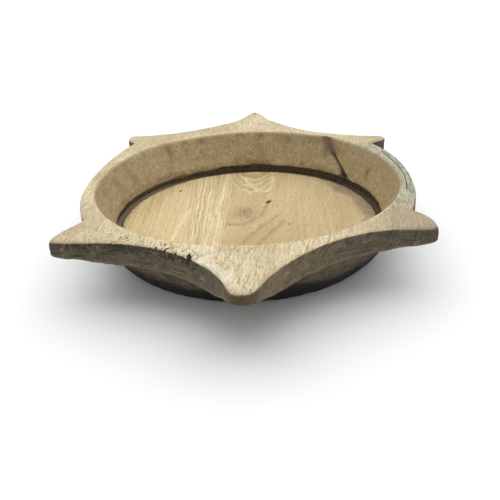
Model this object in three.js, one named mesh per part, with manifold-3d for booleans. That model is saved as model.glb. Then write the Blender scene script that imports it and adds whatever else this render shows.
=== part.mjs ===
// A shallow round bowl carved from one block of wood. Seen from above its rim is
// drawn out into six points: a long one at the front and the back, along the grain,
// and a short lug at each corner. A gutter runs round the foot of the inner wall.
// Three small bodies that are not sound wood are seated in the block: the dark
// residue packed in the gutter, the filling of a crack, and a dead pin knot.
//
// Millimetres, +Z up, +Y towards the back. The origin is under the middle of the
// whole outline, on the surface that the bowl rests on.
import * as THREE from 'three';
import { mergeVertices } from 'three/addons/utils/BufferGeometryUtils.js';
import Module from 'manifold-3d';

const wasm = await Module();
wasm.setup();

// ---- driving dimensions ----
const HALF_LENGTH = 241.5;        // to the front and the back point
const HALF_WIDTH = 168.5;         // to the front lugs
const HEIGHT = 70;
const FLOOR_HEIGHT = 23.6;        // top of the floor
const RIM_RADIUS = 156.5;         // the opening
const WALL_FOOT_RADIUS = 139.7;   // inner wall, just above the gutter
const FLOOR_RADIUS = 135.3;       // inner edge of the gutter
const BASE_RADIUS = 134;          // the flat it rests on
const SLAB_DEPTH = 24;            // rim slab, over most of its width
const LUG_DEPTH = 16;             // rim slab, at its sides and at the ends of the corner lugs
const POINT_DEPTH = 10.5;         // rim slab, at the front and back points
const EDGE_ROUND = 3;             // worn outer edges
const FIT_GAP = 0.3;              // between a seated body and its pocket
const FOOT_RISE = 7.4;            // from the floor up to the wall's foot
const GUTTER_HOLLOW = 2.8;        // how far the gutter cuts in under the wall
const GUTTER_DEPTH = 3;           // below the floor
const SHELL_WIDTH = 3.5;          // between the opening and the outer wall, under the rim

// ---- worked out from them ----
const BOWL_AXIS = { x: -1, y: -9.5 };     // carved by eye, a little off the middle
const WALL_FOOT_HEIGHT = FLOOR_HEIGHT + FOOT_RISE;
const WALL_SLOPE = (RIM_RADIUS - WALL_FOOT_RADIUS) / (HEIGHT - WALL_FOOT_HEIGHT);
const GUTTER_RADIUS = WALL_FOOT_RADIUS + GUTTER_HOLLOW;
const GUTTER_HEIGHT = FLOOR_HEIGHT - GUTTER_DEPTH;
const OUTER_WALL_RADIUS = RIM_RADIUS + SHELL_WIDTH;
const SLAB_BOTTOM = HEIGHT - SLAB_DEPTH;
const SIDE_THINNING = { start: 112, reach: HALF_WIDTH, depth: LUG_DEPTH };
const POINT_THINNING = { start: 206, reach: HALF_LENGTH, depth: POINT_DEPTH };
const BEYOND = HALF_LENGTH + 20;          // past every point, for cutting shapes
const CLEARANCE = 5;                      // how far cutting shapes run past the block
const ROUND_STEPS = 72;
const GUTTER_LEAN = 1.2;                  // the gutter's inner side leans out by this much
const UNDERCUT = 3.4;                     // its outer side stands upright to here, over the floor

// ---- solids and meshes ----
function toSolid(geometry) {
  const plain = geometry.clone();
  plain.deleteAttribute('normal');
  plain.deleteAttribute('uv');
  const merged = mergeVertices(plain, 1e-4);
  return new wasm.Manifold(new wasm.Mesh({
    numProp: 3,
    vertProperties: new Float32Array(merged.attributes.position.array),
    triVerts: new Uint32Array(merged.index.array),
  }));
}

function toGeometry(solid) {
  const { vertProperties, triVerts } = solid.getMesh();
  const geometry = new THREE.BufferGeometry();
  geometry.setAttribute('position', new THREE.BufferAttribute(vertProperties, 3));
  geometry.setIndex(new THREE.BufferAttribute(triVerts, 1));
  geometry.computeVertexNormals();
  return geometry;
}

function namedMesh(name, solid, color, roughness) {
  const material = new THREE.MeshStandardMaterial({ color, roughness, metalness: 0 });
  const mesh = new THREE.Mesh(toGeometry(solid), material);
  mesh.name = name;
  return mesh;
}

// Turns a profile of [radius, height] pairs about the bowl's axis.
function turned(profile) {
  const points = profile.map(([radius, height]) => new THREE.Vector2(radius, height));
  const geometry = new THREE.LatheGeometry(points, ROUND_STEPS);
  geometry.rotateX(Math.PI / 2);
  geometry.translate(BOWL_AXIS.x, BOWL_AXIS.y, 0);
  return toSolid(geometry);
}

const wallRadius = (height) => RIM_RADIUS - (HEIGHT - height) * WALL_SLOPE;

// ---- the outline from above ----
// One quarter of it, from the middle of an end point round to the widest place of
// the side: blunt point, hollow sweep, lug with a round end and full heel, notch, thin rim.
function quarterOutline(quarter) {
  const { point, shoulder, neck, hollow, corner, lobe, end, heel, notch, bulge, side } = quarter;
  const path = new THREE.Path();
  path.moveTo(...point);
  path.quadraticCurveTo(...shoulder.corner, ...shoulder.end);
  path.bezierCurveTo(...neck, ...hollow, ...corner);
  path.quadraticCurveTo(...lobe, ...end);
  path.quadraticCurveTo(...heel, ...notch);
  path.quadraticCurveTo(...bulge, ...side);
  return path.getPoints(8);
}

const FRONT_POINT = [2.5, -HALF_LENGTH];
const BACK_POINT = [0.5, HALF_LENGTH];
const RIGHT_SIDE = [HALF_WIDTH - 2, -12];
const LEFT_SIDE = [-HALF_WIDTH + 0.2, -12];

const QUARTERS = {
  frontRight: {
    point: FRONT_POINT,
    shoulder: { corner: [11, -HALF_LENGTH], end: [15, -235] },
    neck: [33, -189], hollow: [90, -132], corner: [155, -142],
    lobe: [HALF_WIDTH + 3, -143], end: [HALF_WIDTH - 0.3, -126],
    heel: [166.5, -111], notch: [152.5, -102], bulge: [RIGHT_SIDE[0], -63], side: RIGHT_SIDE,
  },
  backRight: {
    point: BACK_POINT,
    shoulder: { corner: [7, HALF_LENGTH], end: [12, 229] },
    neck: [33, 162], hollow: [93, 121], corner: [152, 116],
    lobe: [164, 114], end: [159, 103],
    heel: [152, 94.5], notch: [142, 90], bulge: [RIGHT_SIDE[0], 45], side: RIGHT_SIDE,
  },
  backLeft: {
    point: BACK_POINT,
    shoulder: { corner: [-6, HALF_LENGTH], end: [-10, 231] },
    neck: [-32, 173], hollow: [-92, 146], corner: [-147, 149],
    lobe: [-161, 150], end: [-157, 134],
    heel: [-153, 122], notch: [-145, 115.5], bulge: [LEFT_SIDE[0], 57], side: LEFT_SIDE,
  },
  frontLeft: {
    point: FRONT_POINT,
    shoulder: { corner: [-4, -HALF_LENGTH], end: [-7, -236] },
    neck: [-20, -188], hollow: [-77, -150], corner: [-147, -153],
    lobe: [-HALF_WIDTH - 4, -154], end: [-HALF_WIDTH + 1, -141],
    heel: [-166, -131], notch: [-148, -109], bulge: [LEFT_SIDE[0], -61], side: LEFT_SIDE,
  },
};

function outline() {
  const { frontRight, backRight, backLeft, frontLeft } = QUARTERS;
  const points = [
    ...quarterOutline(frontRight),
    ...quarterOutline(backRight).reverse().slice(1),
    ...quarterOutline(backLeft).slice(1),
    ...quarterOutline(frontLeft).reverse().slice(1, -1),
  ];
  return new THREE.Shape(points);
}

// ---- the block ----
// The outline at full depth, with its top edge rounded as if by wear.
function outlineBlock() {
  const geometry = new THREE.ExtrudeGeometry(outline(), {
    depth: HEIGHT + CLEARANCE - EDGE_ROUND,
    bevelThickness: EDGE_ROUND,
    bevelSize: EDGE_ROUND,
    bevelOffset: -EDGE_ROUND,
    bevelSegments: 2,
  });
  geometry.translate(0, 0, -CLEARANCE);
  return toSolid(geometry);
}

// A bar with its underside level in the middle and sloping up from `start` to `reach` at
// both ends. It lies along x, and is as broad as any cutting shape along y.
function thinnedBar({ start, reach, depth }) {
  const top = HEIGHT + CLEARANCE;
  const shape = new THREE.Shape([
    [-reach, top], [-reach, HEIGHT - depth], [-start, SLAB_BOTTOM],
    [start, SLAB_BOTTOM], [reach, HEIGHT - depth], [reach, top],
  ].map(([out, up]) => new THREE.Vector2(out, up)));
  const geometry = new THREE.ExtrudeGeometry(shape, { depth: 2 * BEYOND, bevelEnabled: false });
  geometry.translate(0, 0, -BEYOND);
  geometry.rotateX(Math.PI / 2);
  return geometry;
}

// The rim slab before its outline is cut: thinner towards its sides and its two points.
function slab() {
  const acrossBowl = toSolid(thinnedBar(SIDE_THINNING));
  const alongBowl = toSolid(thinnedBar(POINT_THINNING).rotateZ(Math.PI / 2));
  return acrossBowl.intersect(alongBowl);
}

// The turned outside of the bowl: flat base, wall curving up, and on into the slab.
function turnedOutside() {
  const fullness = 1.42;    // 1 would be a straight slope, 2 a quarter ellipse
  const steps = 8;
  const profile = [[0, 0]];
  for (let i = 0; i <= steps; i += 1) {
    const angle = (i / steps) * (Math.PI / 2);
    const out = Math.sin(angle) ** (2 / fullness);
    const up = 1 - Math.max(Math.cos(angle), 0) ** (2 / fullness);
    profile.push([BASE_RADIUS + (OUTER_WALL_RADIUS - BASE_RADIUS) * out, SLAB_BOTTOM * up]);
  }
  profile.push([OUTER_WALL_RADIUS, HEIGHT + CLEARANCE], [0, HEIGHT + CLEARANCE]);
  return turned(profile);
}

// The hollow: level floor, gutter with an undercut corner, sloping wall, eased rim.
function hollow() {
  const easing = 1.5;
  return turned([
    [0, FLOOR_HEIGHT],
    [FLOOR_RADIUS, FLOOR_HEIGHT],
    [FLOOR_RADIUS + GUTTER_LEAN, GUTTER_HEIGHT],
    [GUTTER_RADIUS, GUTTER_HEIGHT],
    [GUTTER_RADIUS, FLOOR_HEIGHT + UNDERCUT],
    [WALL_FOOT_RADIUS, WALL_FOOT_HEIGHT],
    [RIM_RADIUS - easing * WALL_SLOPE, HEIGHT - easing],
    [RIM_RADIUS + easing, HEIGHT],
    [RIM_RADIUS + easing, HEIGHT + CLEARANCE],
    [0, HEIGHT + CLEARANCE],
  ]);
}

// ---- the crack in the back right wall ----
// Its course down the inner wall: bearing round the bowl, height, and half width.
const CRACK = [
  { bearing: 53.5, height: 67, halfWidth: 3.2 },
  { bearing: 51, height: 59, halfWidth: 3.6 },
  { bearing: 47.6, height: 51, halfWidth: 2 },
  { bearing: 43.5, height: 44, halfWidth: 1.1 },
  { bearing: 40.8, height: 39, halfWidth: 1.4 },
  { bearing: 38.6, height: 33, halfWidth: 4.4 },
];
const CRACK_DEPTH = 5;
const CRACK_MIDDLE = { bearing: 46, height: 50 };

// A prism along the bowl's radius at the crack, grown by `margin` up and down and by
// twice that sideways, because the crack's edges lean.
function crackPrism(margin) {
  const middle = THREE.MathUtils.degToRad(CRACK_MIDDLE.bearing);
  const middleRadius = wallRadius(CRACK_MIDDLE.height);
  const reach = 25;         // before and behind the wall, more than its slope takes up
  const across = ({ bearing }) => middleRadius * (THREE.MathUtils.degToRad(bearing) - middle);
  const last = CRACK.length - 1;
  const edge = (side) => CRACK.map((step, i) => new THREE.Vector2(
    across(step) + side * (step.halfWidth + 2 * margin),
    step.height + (i === 0 ? margin : 0) - (i === last ? margin : 0),
  ));
  const shape = new THREE.Shape([...edge(-1), ...edge(1).reverse()]);
  const geometry = new THREE.ExtrudeGeometry(shape, { depth: 2 * reach, bevelEnabled: false });
  // Shape x runs towards growing bearings, shape y is up, and depth runs outwards.
  geometry.applyMatrix4(new THREE.Matrix4().makeBasis(
    new THREE.Vector3(-Math.sin(middle), Math.cos(middle), 0),
    new THREE.Vector3(0, 0, 1),
    new THREE.Vector3(Math.cos(middle), Math.sin(middle), 0),
  ));
  const start = middleRadius - reach;
  geometry.translate(
    BOWL_AXIS.x + start * Math.cos(middle),
    BOWL_AXIS.y + start * Math.sin(middle),
    0,
  );
  return toSolid(geometry);
}

// The layer of wall between two depths behind its inner face.
function wallLayer(from, to) {
  const low = WALL_FOOT_HEIGHT - CLEARANCE;
  const high = HEIGHT + CLEARANCE;
  return turned([
    [wallRadius(low) + from, low],
    [wallRadius(low) + to, low],
    [wallRadius(high) + to, high],
    [wallRadius(high) + from, high],
    [wallRadius(low) + from, low],
  ]);
}

const crackPocket = () => crackPrism(0).intersect(wallLayer(-2, CRACK_DEPTH));
const crackFilling = () => crackPrism(-FIT_GAP).intersect(wallLayer(0, CRACK_DEPTH - FIT_GAP));

// ---- the gutter's residue ----
// Packed into the outer corner, thick against the wall and thin towards the floor.
function residueRing() {
  const inner = FLOOR_RADIUS + GUTTER_LEAN + FIT_GAP;
  const outer = GUTTER_RADIUS - FIT_GAP;
  const bottom = GUTTER_HEIGHT + FIT_GAP;
  const thinEdge = 1;
  const climb = 2.2;        // above the floor, up the wall
  const bank = { width: 1.6, below: 0.6 };
  return turned([
    [inner, bottom],
    [outer, bottom],
    [outer, FLOOR_HEIGHT + climb],
    [outer - bank.width, FLOOR_HEIGHT - bank.below],
    [inner, bottom + thinEdge],
    [inner, bottom],
  ]);
}

// ---- the pin knot in the floor ----
const KNOT = { x: 20, y: 30, halfLength: 5.4, halfWidth: 2.5, depth: 8, turn: 67 };
const KNOT_SIDES = 20;

function knotPlug(margin, top) {
  const bottom = FLOOR_HEIGHT - KNOT.depth - margin;
  const geometry = new THREE.CylinderGeometry(1, 1, top - bottom, KNOT_SIDES);
  geometry.rotateX(Math.PI / 2);
  geometry.scale(KNOT.halfLength + margin, KNOT.halfWidth + margin, 1);
  geometry.rotateZ(THREE.MathUtils.degToRad(KNOT.turn));
  geometry.translate(KNOT.x, KNOT.y, (top + bottom) / 2);
  return toSolid(geometry);
}

// ---- assembly ----
const body = turnedOutside()
  .add(slab())
  .intersect(outlineBlock())
  .subtract(hollow())
  .subtract(crackPocket())
  .subtract(knotPlug(FIT_GAP, FLOOR_HEIGHT + CLEARANCE));

const group = new THREE.Group();
group.add(namedMesh('bowl_body', body, 0xb9a27a, 0.8));
group.add(namedMesh('groove_residue', residueRing(), 0x2e251d, 0.9));
group.add(namedMesh('crack_filling', crackFilling(), 0x54433b, 0.85));
group.add(namedMesh('pin_knot', knotPlug(0, FLOOR_HEIGHT), 0x4a3524, 0.7));

export default group;
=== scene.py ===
import math

import bmesh
import bpy
import numpy as np
from mathutils import Matrix, Vector, kdtree
from mathutils.bvhtree import BVHTree


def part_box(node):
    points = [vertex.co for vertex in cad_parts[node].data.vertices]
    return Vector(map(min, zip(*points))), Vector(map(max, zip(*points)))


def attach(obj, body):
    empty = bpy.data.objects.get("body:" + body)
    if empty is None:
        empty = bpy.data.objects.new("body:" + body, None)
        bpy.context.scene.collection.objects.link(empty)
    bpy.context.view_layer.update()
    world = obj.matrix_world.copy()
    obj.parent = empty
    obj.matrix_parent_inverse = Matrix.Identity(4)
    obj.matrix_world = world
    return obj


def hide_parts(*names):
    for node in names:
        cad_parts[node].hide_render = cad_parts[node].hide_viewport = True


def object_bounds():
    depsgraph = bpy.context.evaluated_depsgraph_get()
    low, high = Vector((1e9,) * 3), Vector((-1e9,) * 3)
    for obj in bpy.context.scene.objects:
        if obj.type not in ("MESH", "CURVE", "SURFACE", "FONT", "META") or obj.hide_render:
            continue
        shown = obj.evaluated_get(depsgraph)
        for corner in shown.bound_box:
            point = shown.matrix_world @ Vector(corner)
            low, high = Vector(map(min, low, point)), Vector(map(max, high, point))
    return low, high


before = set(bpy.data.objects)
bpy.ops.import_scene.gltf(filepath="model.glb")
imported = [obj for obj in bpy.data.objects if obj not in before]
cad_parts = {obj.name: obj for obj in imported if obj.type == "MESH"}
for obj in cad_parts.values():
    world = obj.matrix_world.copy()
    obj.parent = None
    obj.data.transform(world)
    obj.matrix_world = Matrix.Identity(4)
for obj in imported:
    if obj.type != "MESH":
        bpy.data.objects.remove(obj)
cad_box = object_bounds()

MM = 0.001

# ---- what the frame gives ----
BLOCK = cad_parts["bowl_body"]
RIM_HEIGHT = cad_box[1].z
FLOOR_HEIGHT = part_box("pin_knot")[1].z
RESIDUE_LOW, RESIDUE_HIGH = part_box("groove_residue")
AXIS = np.array((RESIDUE_LOW + RESIDUE_HIGH)[:2]) / 2
SEAT_GAP = 0.3 * MM
GUTTER_RADIUS = (RESIDUE_HIGH.x - RESIDUE_LOW.x) / 2 + SEAT_GAP
GUTTER_HEIGHT = RESIDUE_LOW.z - SEAT_GAP
SKIN = 0.02 * MM         # how far inside the CAD's box every point of the block stays

# ---- how finely the block is meshed ----
COLUMNS = 624            # round the bowl; a multiple of 8
BASE_COLUMNS = COLUMNS // 2
FLOOR, GUTTER, WALL, LIP, RIM, EDGE, SIDE, UNDER, OUTSIDE, BASE = range(10)


# ---- measuring the CAD block ----
def slice_loops(height, node=BLOCK):
    """The closed loops where a level plane cuts a CAD node, longest first."""
    bm = bmesh.new()
    bm.from_mesh(node.data)
    bmesh.ops.remove_doubles(bm, verts=bm.verts, dist=1e-6)
    everything = bm.verts[:] + bm.edges[:] + bm.faces[:]
    cut = bmesh.ops.bisect_plane(
        bm, geom=everything, plane_co=(0, 0, height), plane_no=(0, 0, 1)
    )["geom_cut"]
    neighbours = {}
    for edge in cut:
        if isinstance(edge, bmesh.types.BMEdge):
            a, b = edge.verts
            neighbours.setdefault(a, []).append(b)
            neighbours.setdefault(b, []).append(a)
    loops = []
    while neighbours:
        vert = next(iter(neighbours))
        loop = []
        while vert is not None:
            loop.append(vert.co[:2])
            around = neighbours.pop(vert)
            vert = next((v for v in around if v in neighbours), None)
        loops.append(np.array(loop))
    bm.free()
    return sorted(loops, key=lambda p: -np.hypot(*(p - np.roll(p, 1, 0)).T).sum())


def mean_radius(loop):
    """The usual distance of a loop from the bowl's axis, whatever small pocket it passes."""
    return float(np.median(np.hypot(*(loop - AXIS).T)))


def smooth_round(values, sigma):
    """Gaussian smoothing of a periodic array along its first axis; sigma is in samples."""
    count = len(values)
    steps = np.minimum(np.arange(count), count - np.arange(count))
    kernel = np.exp(-0.5 * (steps / sigma) ** 2)
    kernel /= kernel.sum()
    spectrum = np.fft.fft(values, axis=0)
    response = np.fft.fft(kernel)
    if values.ndim == 2:
        response = response[:, None]
    return np.real(np.fft.ifft(spectrum * response, axis=0))


def smoothstep(low, high, value):
    t = np.clip((value - low) / (high - low), 0, 1)
    return t * t * (3 - 2 * t)


def noise(points, size, seed):
    """Smooth random values from -1 to 1, with features about `size` across."""
    side = 32
    lattice = np.random.default_rng(seed).uniform(-1, 1, (side, side, side))
    scaled = np.asarray(points) / size
    base = np.floor(scaled).astype(int)
    part = scaled - base
    part = part * part * (3 - 2 * part)
    total = 0
    for corner in range(8):
        pick = np.array([corner & 1, corner >> 1 & 1, corner >> 2 & 1])
        weight = np.prod(np.where(pick, part, 1 - part), axis=-1)
        cell = (base + pick) % side
        total = total + weight * lattice[cell[..., 0], cell[..., 1], cell[..., 2]]
    return total


def ring_noise(angle, lumps, seed):
    """Smooth random values round the bowl, with about `lumps` features in a turn."""
    circle = np.stack([np.cos(angle), np.sin(angle), np.zeros_like(angle)], -1)
    return noise(circle * lumps / 3, 1, seed)


# ---- columns: each joins a bearing on the round hollow to a point on the outline ----
def make_columns():
    """Outline points, their outward normals and the matching bearings on the hollow."""
    loop = slice_loops(RIM_HEIGHT - 4 * MM)[0]
    closed = np.vstack([loop, loop[:1]])
    length = np.r_[0, np.cumsum(np.hypot(*np.diff(closed, axis=0).T))]
    fine = np.linspace(0, length[-1], 3001)[:-1]
    outline = np.stack([np.interp(fine, length, closed[:, k]) for k in (0, 1)], 1)
    bearing = np.unwrap(np.arctan2(*(outline - AXIS).T[::-1]))
    if bearing[-1] < bearing[0]:
        outline = outline[::-1]
    start = int(np.argmin(np.abs(np.arctan2(*(outline - AXIS).T[::-1]) + 0.75 * math.pi)))
    outline = smooth_round(np.roll(outline, -start, 0), 3)
    bearing = np.unwrap(np.arctan2(*(outline - AXIS).T[::-1]))
    steps = np.hypot(*(np.roll(outline, -1, 0) - outline).T)
    along = np.r_[0, np.cumsum(steps)]
    turned = np.r_[bearing, bearing[0] + 2 * math.pi] - bearing[0]
    by_length = 0.4
    by_turn = np.maximum.accumulate(turned) / (2 * math.pi)
    measure = by_length * along / along[-1] + (1 - by_length) * by_turn
    wanted = np.arange(COLUMNS) / COLUMNS
    joined = np.vstack([outline, outline[:1]])
    points = np.stack([np.interp(wanted, measure, joined[:, k]) for k in (0, 1)], 1)
    spin = np.interp(wanted, measure, turned) - wanted * 2 * math.pi
    hollow_bearing = bearing[0] + wanted * 2 * math.pi + smooth_round(spin, 10)
    tangent = np.roll(points, -1, 0) - np.roll(points, 1, 0)
    tangent /= np.hypot(*tangent.T)[:, None]
    normals = smooth_round(np.stack([tangent[:, 1], -tangent[:, 0]], 1), 1.5)
    normals /= np.hypot(*normals.T)[:, None]
    return points, normals, hollow_bearing


OUTLINE, OUTWARD, BEARING = make_columns()
SPOKE = np.stack([np.cos(BEARING), np.sin(BEARING)], 1)
WALL_TOP = RIM_HEIGHT - 6 * MM
WALL_LOW = FLOOR_HEIGHT + 12 * MM
WALL_SLOPE = (
    mean_radius(slice_loops(WALL_TOP)[1]) - mean_radius(slice_loops(WALL_LOW)[1])
) / (WALL_TOP - WALL_LOW)
RIM_RADIUS = mean_radius(slice_loops(WALL_TOP)[1]) + WALL_SLOPE * (RIM_HEIGHT - WALL_TOP)
FOOT_HEIGHT = FLOOR_HEIGHT + 7.4 * MM       # where the wall meets the gutter's sloping corner
UNDERCUT_HEIGHT = FLOOR_HEIGHT + 3.4 * MM   # where the gutter's upright side meets it
FLOOR_RADIUS = GUTTER_RADIUS - 7.2 * MM     # the gutter is 7.2 mm wide
RIM_TOP = RIM_HEIGHT - 0.1 * MM             # a little under the CAD's, so that dips stay inside
LIP_ROUND = 2.2 * MM                        # how round the hollow's lip is worn
UNDER_ROUND = 1.8 * MM                      # and the lower edge of the slab
SLAB_BOTTOM = RIM_HEIGHT - 24 * MM          # where the slab's underside meets the outer wall
OUT_OF_ROUND = [(140, 16, 5), (12, 16, -2.5)]   # bearing and spread in degrees, mm outwards


def wall_radius(height):
    return RIM_RADIUS - (RIM_HEIGHT - height) * WALL_SLOPE


def turn_from(degrees, bearings):
    """Radians from a bearing in degrees to others, the short way round."""
    return np.angle(np.exp(1j * (bearings - math.radians(degrees))))


def carved_by_eye(height):
    """How far the wall stands out or in from a true round, growing towards the rim."""
    rise = np.clip((height - FOOT_HEIGHT) / (RIM_HEIGHT - FOOT_HEIGHT), 0, 1) ** 2
    total = 0
    for bearing, spread, out in OUT_OF_ROUND:
        away = turn_from(bearing, BEARING) / math.radians(spread)
        total = total + out * MM * np.exp(-(away ** 2))
    return total * rise


# ---- rows: rings of points from the floor's edge out over the rim and under ----
class Rings:
    """Collects rings of points, each with the part of the block that it lies on."""

    def __init__(self):
        self.points = []
        self.zones = []

    def add(self, plan, height, zone):
        height = np.broadcast_to(height, (COLUMNS,))
        self.points.append(np.column_stack([plan, height]))
        self.zones.append(zone)

    def turned(self, radius, height, zone):
        radius = np.broadcast_to(radius, (COLUMNS,))
        self.add(AXIS + SPOKE * radius[:, None], height, zone)


def gutter_rings(rings):
    """The gutter: a worn floor edge, an uneven bottom and an undercut outer corner."""
    wander = ring_noise(BEARING, 26, 1) * 0.9 * MM + ring_noise(BEARING, 90, 2) * 0.35 * MM
    depth = ring_noise(BEARING, 30, 3) * 0.6 * MM
    inner = FLOOR_RADIUS + wander
    bottom = GUTTER_HEIGHT + depth
    outer = GUTTER_RADIUS + ring_noise(BEARING, 40, 4) * 0.4 * MM
    corner = UNDERCUT_HEIGHT + ring_noise(BEARING, 34, 5) * 0.9 * MM
    rings.turned(inner - 0.9 * MM, FLOOR_HEIGHT - 0.05 * MM, FLOOR)
    rings.turned(inner, FLOOR_HEIGHT - 0.5 * MM, GUTTER)
    rings.turned(inner + 0.5 * MM, FLOOR_HEIGHT - 1.4 * MM, GUTTER)
    for t in np.linspace(0, 1, 5):
        dip = bottom + 0.7 * MM * (2 * t - 1) ** 2
        rings.turned(inner + 1.1 * MM + (outer - inner - 1.6 * MM) * t, dip, GUTTER)
    for t in np.linspace(0.15, 1, 5):
        rings.turned(outer, bottom + (corner - bottom) * t, GUTTER)
    foot = FOOT_HEIGHT + ring_noise(BEARING, 44, 6) * 1.1 * MM
    for t in (0.3, 0.65, 1):
        rings.turned(outer + (wall_radius(foot) - outer) * t, corner + (foot - corner) * t, GUTTER)
    return foot


def wall_rings(rings, foot):
    """Up the wall from its foot, and round the lip."""
    lip = RIM_HEIGHT - LIP_ROUND
    for t in np.linspace(0, 1, 27)[1:]:
        height = foot + (lip - foot) * t
        belly = 0.9 * MM * math.sin(math.pi * t)
        rings.turned(wall_radius(height) + belly + carved_by_eye(height), height, WALL)
    for angle in np.radians([30, 60, 90]):
        out = LIP_ROUND * (1 - math.cos(angle)) + 0.4 * MM
        drop = LIP_ROUND * (1 - math.sin(angle))
        rings.turned(wall_radius(lip) + carved_by_eye(lip) + out, RIM_TOP - drop, LIP)


def rim_rings(rings):
    """The level rim, from the hollow's lip to the rounded outer edge, and its side."""
    tip = smoothstep(200 * MM, 228 * MM, np.abs(OUTLINE[:, 1]))
    lug = smoothstep(186 * MM, 205 * MM, np.hypot(*OUTLINE.T)) * (1 - tip)
    round_edge = (3 + 2.6 * smooth_round(tip, 3) + 3.8 * smooth_round(lug, 3))[:, None] * MM
    inner = rings.points[-1][:, :2]
    outer = OUTLINE - OUTWARD * round_edge
    for t in np.linspace(0, 1, 25)[1:]:
        rings.add(inner + (outer - inner) * t, RIM_TOP, RIM)
    for angle in np.radians([22, 45, 68, 90]):
        out = round_edge * (1 - math.sin(angle))
        drop = round_edge * (1 - math.cos(angle))
        rings.add(OUTLINE - OUTWARD * out, RIM_TOP - drop[:, 0], EDGE)


def cast_up(tree, plan):
    """Height of the block's underside above each point of a plan."""
    hits = [tree.ray_cast(Vector((x, y, -0.01)), Vector((0, 0, 1)))[0] for x, y in plan]
    heights = np.array([np.nan if hit is None else hit.z for hit in hits])
    known = ~np.isnan(heights)
    index = np.arange(len(heights))
    return np.interp(index, index[known], heights[known], period=len(heights))


def underside_rings(rings, tree):
    """Down the side of the slab, in under it, and down the bowl's outer wall."""
    wall_out = mean_radius(slice_loops(SLAB_BOTTOM - 1 * MM)[0])
    below = smooth_round(cast_up(tree, OUTLINE - OUTWARD * 2 * MM), 2)
    side_top = rings.points[-1][:, 2]
    for t in np.linspace(0, 1, 10)[1:]:
        rings.add(OUTLINE, side_top + (below + UNDER_ROUND - side_top) * t, SIDE)
    for angle in np.radians([35, 70]):
        out = UNDER_ROUND * (1 - math.cos(angle))
        rings.add(OUTLINE - OUTWARD * out, below + UNDER_ROUND * (1 - math.sin(angle)), UNDER)
    start = OUTLINE - OUTWARD * UNDER_ROUND
    end = AXIS + SPOKE * wall_out
    for t in np.linspace(0, 1, 9)[:-1]:
        plan = start + (end - start) * t
        rings.add(plan, smooth_round(cast_up(tree, plan), 2), UNDER)
    heights = SLAB_BOTTOM * (1 - np.linspace(0, 1, 18) ** 0.8)
    for height in heights[:-1]:
        radius = mean_radius(slice_loops(max(height - 0.2 * MM, 0.2 * MM))[0])
        rings.turned(radius, height, OUTSIDE)
    rings.turned(mean_radius(slice_loops(0.2 * MM)[0]) - 2 * MM, 0, BASE)


# ---- closing the rings with round patches ----
def round_patch(edge, first):
    """A square grid bent to fill a ring of points: its new inner points, and faces that look up.

    Edge points keep their own numbers, and the inner ones are numbered from `first`."""
    line = np.linspace(-1, 1, len(edge) // 4 + 1)
    across, along = np.meshgrid(line, line, indexing="ij")
    reach = np.maximum(np.abs(across), np.abs(along))
    a = across / np.where(reach > 0, reach, 1)
    b = along / np.where(reach > 0, reach, 1)
    near, right, far = b < -1 + 1e-9, a > 1 - 1e-9, b > 1 - 1e-9
    turn = np.select([near, right, far], [a + 1, b + 3, 5 - a], 7 - b) / 8 * len(edge)
    low = np.floor(turn + 1e-6).astype(int)
    here, there = edge[low % len(edge)], edge[(low + 1) % len(edge)]
    rim = here + (there - here) * (turn - low)[..., None]
    centre = np.append(AXIS, edge[:, 2].mean())
    points = centre + (rim - centre) * reach[..., None]
    inside = reach < 1 - 1e-9
    ids = low % len(edge)
    ids[inside] = first + np.arange(inside.sum())
    corners = [ids[:-1, :-1], ids[1:, :-1], ids[1:, 1:], ids[:-1, 1:]]
    return points[inside], np.stack(corners, -1).reshape(-1, 4)


def ring_quads(rows, columns):
    """Faces between each ring and the next."""
    start = np.arange(rows - 1)[:, None] * columns
    here = np.arange(columns)
    there = (here + 1) % columns
    corners = [start + here, start + columns + here, start + columns + there, start + there]
    return np.stack(corners, -1).reshape(-1, 4)


def soften(rows):
    """Blends a value kept for each ring into its neighbours."""
    for _ in range(2):
        padded = np.r_[rows[0], rows, rows[-1]]
        rows = (padded[:-2] + 2 * padded[1:-1] + padded[2:]) / 4
    return rows


def polygons(obj):
    mesh = obj.data
    return [v.co for v in mesh.vertices], [tuple(p.vertices) for p in mesh.polygons]


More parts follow.
